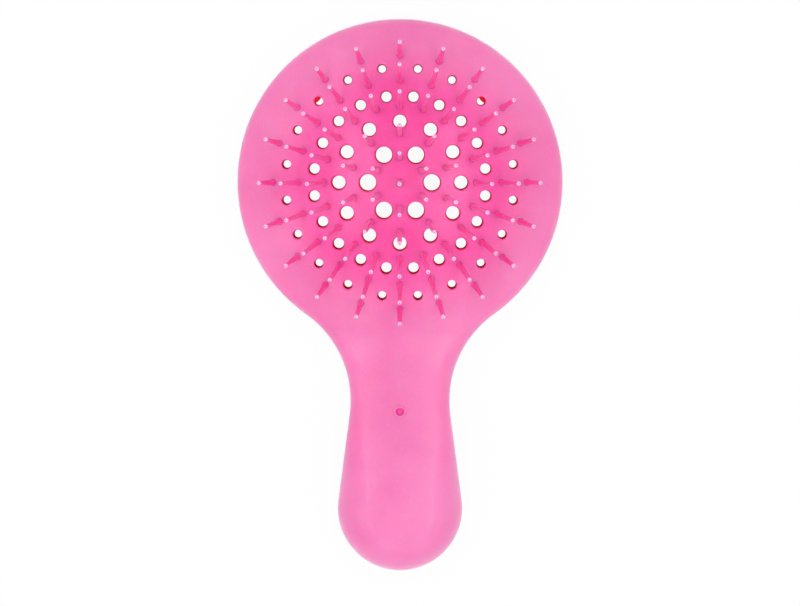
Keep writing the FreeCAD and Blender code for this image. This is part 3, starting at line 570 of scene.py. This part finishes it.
def pin_profile(pins, length):
    """Radius and height of a pin from the end of its foot to its tip."""
    root = pins.root_diameter / 2
    tip = pins.tip_diameter / 2
    neck = pins.neck_diameter / 2
    ledge = -pins.foot_depth
    profile = [
        (0.0, ledge - pins.foot_length),
        (pins.foot_lead / 2, ledge - pins.foot_length),
        (pins.foot_diameter / 2, ledge),
        (neck, ledge),
        (neck, -math.sqrt(root**2 - neck**2)),
        (root, -SHOULDER_SHARE * root),
        (root, 0.0),
    ]
    for step in range(FILLET_STEPS + 1):
        turn = math.pi / 2 * step / FILLET_STEPS
        flare = (pins.collar_diameter / 2 - root) * (1 - math.sin(turn))
        profile.append((root + flare, pins.collar_height * (1 - math.cos(turn))))
    shank_top = length - tip
    for step in range(1, SHANK_STEPS):
        share = step / SHANK_STEPS
        height = pins.collar_height + (shank_top - pins.collar_height) * share
        profile.append((root + (tip - root) * height / shank_top, height))
    for step in range(TIP_STEPS + 1):
        turn = math.pi / 2 * step / TIP_STEPS
        profile.append((tip * math.cos(turn), shank_top + tip * math.sin(turn)))
    profile[-1] = (0.0, length)
    return profile


def add_pin(shape, pins, circle, angle, length):
    """Turn one pin about its own axis and stand it on the dome."""
    slope = math.asin(circle / pins.dome_radius)
    up = Vector((math.sin(slope) * math.cos(angle), math.sin(slope) * math.sin(angle), math.cos(slope)))
    foot = Matrix.Translation(dome_centre(pins) + up * pins.dome_radius)
    stand = foot @ up.to_track_quat("Z", "Y").to_matrix().to_4x4()
    from_tip = shape.verts.layers.float[TIP_LAYER]
    rings = []
    for radius, height in pin_profile(pins, length):
        ring = []
        for side in range(pins.sides if radius else 1):
            turn = 2 * math.pi * side / pins.sides
            spot = Vector((radius * math.cos(turn), radius * math.sin(turn), height))
            corner = shape.verts.new(stand @ spot)
            corner[from_tip] = length - height
            ring.append(corner)
        rings.append(ring)
    for lower, upper in zip(rings, rings[1:]):
        for side in range(pins.sides):
            corners = [
                lower[side % len(lower)],
                lower[(side + 1) % len(lower)],
                upper[(side + 1) % len(upper)],
                upper[side % len(upper)],
            ]
            shape.faces.new(list(dict.fromkeys(corners)))


def grow_pins(node, stands, pins, material):
    """One piece with pins at the given (circle, angle, length), bending from the shell to its own body."""
    shape = bmesh.new()
    shape.verts.layers.float.new(TIP_LAYER)
    for circle, angle, length in stands:
        add_pin(shape, pins, circle, angle, length)
    mesh = bpy.data.meshes.new(node + "_flexible")
    shape.to_mesh(mesh)
    shape.free()
    mesh.shade_smooth()
    mesh.set_sharp_from_angle(angle=SHARP_ANGLE)
    mesh.materials.append(material)
    piece = bpy.data.objects.new(node + "_flexible", mesh)
    bpy.context.scene.collection.objects.link(piece)
    joint = JOINTS[node]
    root = Vector(joint["pos_m"])
    along = Vector(joint["axis"])
    up = root - dome_centre(pins)
    up -= along * (up.dot(along) / along.length_squared)
    up.normalize()
    shortest = min(length for _, _, length in stands)
    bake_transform(piece, SHELL_BODY, node, root + up * pins.collar_height, root + up * shortest * pins.bend_share)
    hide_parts(node)


def pin_material(context):
    """The plastic of the pins, made once."""
    found = bpy.data.materials.get(PIN_FINISH)
    return found or pin_plastic(context.scene.brush_plastic, context.scene.brush_pins)


def place_of(node):
    """Distance from the head's axis and direction round it of a pin node, from its joint."""
    away = Vector(JOINTS[node]["pos_m"]) - HEAD_AXIS
    return away.xy.length, math.atan2(away.y, away.x)


class DETANGLER_OT_front_shell(bpy.types.Operator):
    """Give the front shell its satin pink plastic, deeper among the pins"""

    bl_idname = "detangler.front_shell"
    bl_label = "Front Shell"

    def execute(self, context):
        pins = context.scene.brush_pins
        looks = context.scene.brush_plastic
        shell = context.scene.brush_shell
        centre = dome_centre(pins)
        skin = [pins.dome_radius - depth for depth in FRONT_SKIN]
        plastic = shell_plastic("front_shell_plastic", looks, shell, FRONT_BOUNCE_SHARE, centre, *skin)
        dress("front_shell", plastic)
        return {"FINISHED"}


class DETANGLER_OT_back_shell(bpy.types.Operator):
    """Give the back shell its satin pink plastic"""

    bl_idname = "detangler.back_shell"
    bl_label = "Back Shell"

    def execute(self, context):
        shell = context.scene.brush_shell
        looks = context.scene.brush_plastic
        centre = HEAD_AXIS + Vector((0.0, 0.0, shell.dish_depth - shell.dish_radius))
        skin = [shell.dish_radius + depth for depth in BACK_SKIN]
        plastic = shell_plastic("back_shell_plastic", looks, shell, BACK_BOUNCE_SHARE, centre, *skin)
        dress("back_shell", plastic)
        return {"FINISHED"}


class DETANGLER_OT_single_pins(bpy.types.Operator):
    """Grow the centre pin and the pins of the two inner rings"""

    bl_idname = "detangler.single_pins"
    bl_label = "Single Pins"

    def execute(self, context):
        pins = context.scene.brush_pins
        for node in sorted(JOINTS):
            if not node.startswith("pin_spoke"):
                circle, angle = place_of(node)
                grow_pins(node, [(circle, angle, pins.single_length)], pins, pin_material(context))
        return {"FINISHED"}


class DETANGLER_OT_pin_rows(bpy.types.Operator):
    """Grow the rows of three pins that point outwards round the head"""

    bl_idname = "detangler.pin_rows"
    bl_label = "Pin Rows"

    def execute(self, context):
        pins = context.scene.brush_pins
        for node in sorted(JOINTS):
            if node.startswith("pin_spoke"):
                _, angle = place_of(node)
                row = zip(pins.row_circles, pins.row_lengths)
                stands = [(circle, angle, length) for circle, length in row]
                grow_pins(node, stands, pins, pin_material(context))
        return {"FINISHED"}


def aim(thing, target):
    """Point a lamp or the camera at a place."""
    thing.rotation_euler = (Vector(target) - thing.location).to_track_quat("-Z", "Y").to_euler()


def seen_directly(tree):
    """One for rays from the camera or through glass, zero for rays that light the scene; its output."""
    path = add_node(tree, "ShaderNodeLightPath").outputs
    return math_node(tree, "MAXIMUM", path["Is Camera Ray"], path["Is Transmission Ray"])


def make_table(stage):
    """A large white table top that keeps a trace of the brush's shadow."""
    shape = bmesh.new()
    bmesh.ops.create_grid(shape, x_segments=TABLE_CELLS, y_segments=TABLE_CELLS, size=TABLE_HALF_WIDTH)
    mesh = bpy.data.meshes.new("table_top")
    shape.to_mesh(mesh)
    shape.free()
    table = bpy.data.objects.new("table_top", mesh)
    table.location.z = CAD_LOW.z - TABLE_GAP
    bpy.context.scene.collection.objects.link(table)
    material = bpy.data.materials.new("white_table")
    material.use_nodes = True
    tree = material.node_tree
    surface = tree.nodes["Principled BSDF"]
    surface.inputs["Base Color"].default_value = stage.table_colour
    surface.inputs["Roughness"].default_value = TABLE_ROUGHNESS
    glow = add_node(tree, "ShaderNodeEmission")
    share = math_node(tree, "MULTIPLY", seen_directly(tree), 1.0 - stage.table_shade)
    mixed = add_node(tree, "ShaderNodeMixShader")
    feed(tree, share, mixed.inputs["Fac"])
    feed(tree, surface.outputs[0], mixed.inputs[1])
    feed(tree, glow.outputs[0], mixed.inputs[2])
    feed(tree, mixed.outputs[0], tree.nodes["Material Output"].inputs["Surface"])
    mesh.materials.append(material)


def add_lamp(name, shape, power, offset):
    """An area lamp at an offset from the middle of the brush, turned towards it."""
    lamp = bpy.data.lights.new(name, "AREA")
    lamp.shape = shape
    lamp.energy = power
    lit = bpy.data.objects.new(name, lamp)
    lit.location = BRUSH_MIDDLE + offset
    lit.visible_camera = False
    bpy.context.scene.collection.objects.link(lit)
    aim(lit, BRUSH_MIDDLE)
    return lamp


def make_lights(stage):
    """Softboxes in a circle, a strip light on each side, and the glow of a light tent."""
    for number in range(stage.light_count):
        turn = 2 * math.pi * (number + 0.5) / stage.light_count
        power = stage.light_power * (1 + stage.light_bias * math.cos(turn - stage.light_lead))
        offset = Vector((math.cos(turn), math.sin(turn), 0.0)) * stage.light_circle
        offset.z = stage.light_height
        add_lamp(f"softbox_{number + 1}", "DISK", power, offset).size = stage.light_size
    for name, side in (("left", -1), ("right", 1)):
        offset = Vector((side * stage.strip_offset, 0.0, stage.light_height))
        strip = add_lamp(f"{name}_strip", "RECTANGLE", stage.strip_power, offset)
        strip.size = stage.strip_length
        strip.size_y = stage.strip_width
    world = bpy.data.worlds.new("studio")
    world.use_nodes = True
    bpy.context.scene.world = world
    tree = world.node_tree
    background = tree.nodes["Background"]
    background.inputs["Color"].default_value = WHITE
    rise = add_node(tree, "ShaderNodeSeparateXYZ")
    feed(tree, add_node(tree, "ShaderNodeTexCoord").outputs["Generated"], rise.inputs[0])
    tent = ramp_between(tree, rise.outputs["Z"], WALL_TOP, ROOF_START, stage.wall_fill, stage.roof_fill)
    feed(tree, math_node(tree, "MAXIMUM", tent, seen_directly(tree)), background.inputs["Strength"])


def make_camera(stage):
    """The camera above the head, looking down at the middle of the brush."""
    camera = bpy.data.cameras.new("overhead")
    camera.lens = stage.lens
    camera.sensor_width = SENSOR_WIDTH
    camera.clip_start = NEAREST_VIEW
    view = bpy.data.objects.new("overhead", camera)
    view.location = stage.camera_spot
    ahead = (Vector(stage.camera_aim) - view.location).normalized()
    right = ahead.cross(Vector((0.0, 1.0, 0.0))).normalized()
    view.rotation_euler = Matrix((right, right.cross(ahead), -ahead)).transposed().to_euler()
    bpy.context.scene.collection.objects.link(view)
    bpy.context.scene.camera = view


class DETANGLER_OT_stage(bpy.types.Operator):
    """Set up the table, the lights and the camera"""

    bl_idname = "detangler.stage"
    bl_label = "Stage"

    def execute(self, context):
        stage = context.scene.brush_stage
        context.scene.view_settings.view_transform = "Standard"
        make_table(stage)
        make_lights(stage)
        make_camera(stage)
        return {"FINISHED"}


class DETANGLER_PT_brush(bpy.types.Panel):
    """Settings and steps of the brush"""

    bl_idname = "DETANGLER_PT_brush"
    bl_label = "Detangling Brush"
    bl_space_type = "VIEW_3D"
    bl_region_type = "UI"
    bl_category = "Brush"

    def draw(self, context):
        layout = self.layout
        scene = context.scene
        for settings in (scene.brush_plastic, scene.brush_shell, scene.brush_pins, scene.brush_stage):
            box = layout.box()
            for name in settings.__annotations__:
                box.prop(settings, name)
        for operator in OPERATORS:
            layout.operator(operator.bl_idname)


OPERATORS = (
    DETANGLER_OT_front_shell,
    DETANGLER_OT_back_shell,
    DETANGLER_OT_single_pins,
    DETANGLER_OT_pin_rows,
    DETANGLER_OT_stage,
)
CLASSES = (PlasticSettings, ShellSettings, PinSettings, StageSettings, *OPERATORS, DETANGLER_PT_brush)


def register():
    for kind in CLASSES:
        bpy.utils.register_class(kind)
    bpy.types.Scene.brush_plastic = PointerProperty(type=PlasticSettings)
    bpy.types.Scene.brush_shell = PointerProperty(type=ShellSettings)
    bpy.types.Scene.brush_pins = PointerProperty(type=PinSettings)
    bpy.types.Scene.brush_stage = PointerProperty(type=StageSettings)


def unregister():
    del bpy.types.Scene.brush_stage
    del bpy.types.Scene.brush_pins
    del bpy.types.Scene.brush_shell
    del bpy.types.Scene.brush_plastic
    for kind in reversed(CLASSES):
        bpy.utils.unregister_class(kind)


def main():
    register()
    bpy.ops.detangler.front_shell()
    bpy.ops.detangler.back_shell()
    bpy.ops.detangler.single_pins()
    bpy.ops.detangler.pin_rows()
    bpy.ops.detangler.stage()


if __name__ == "__main__":
    main()
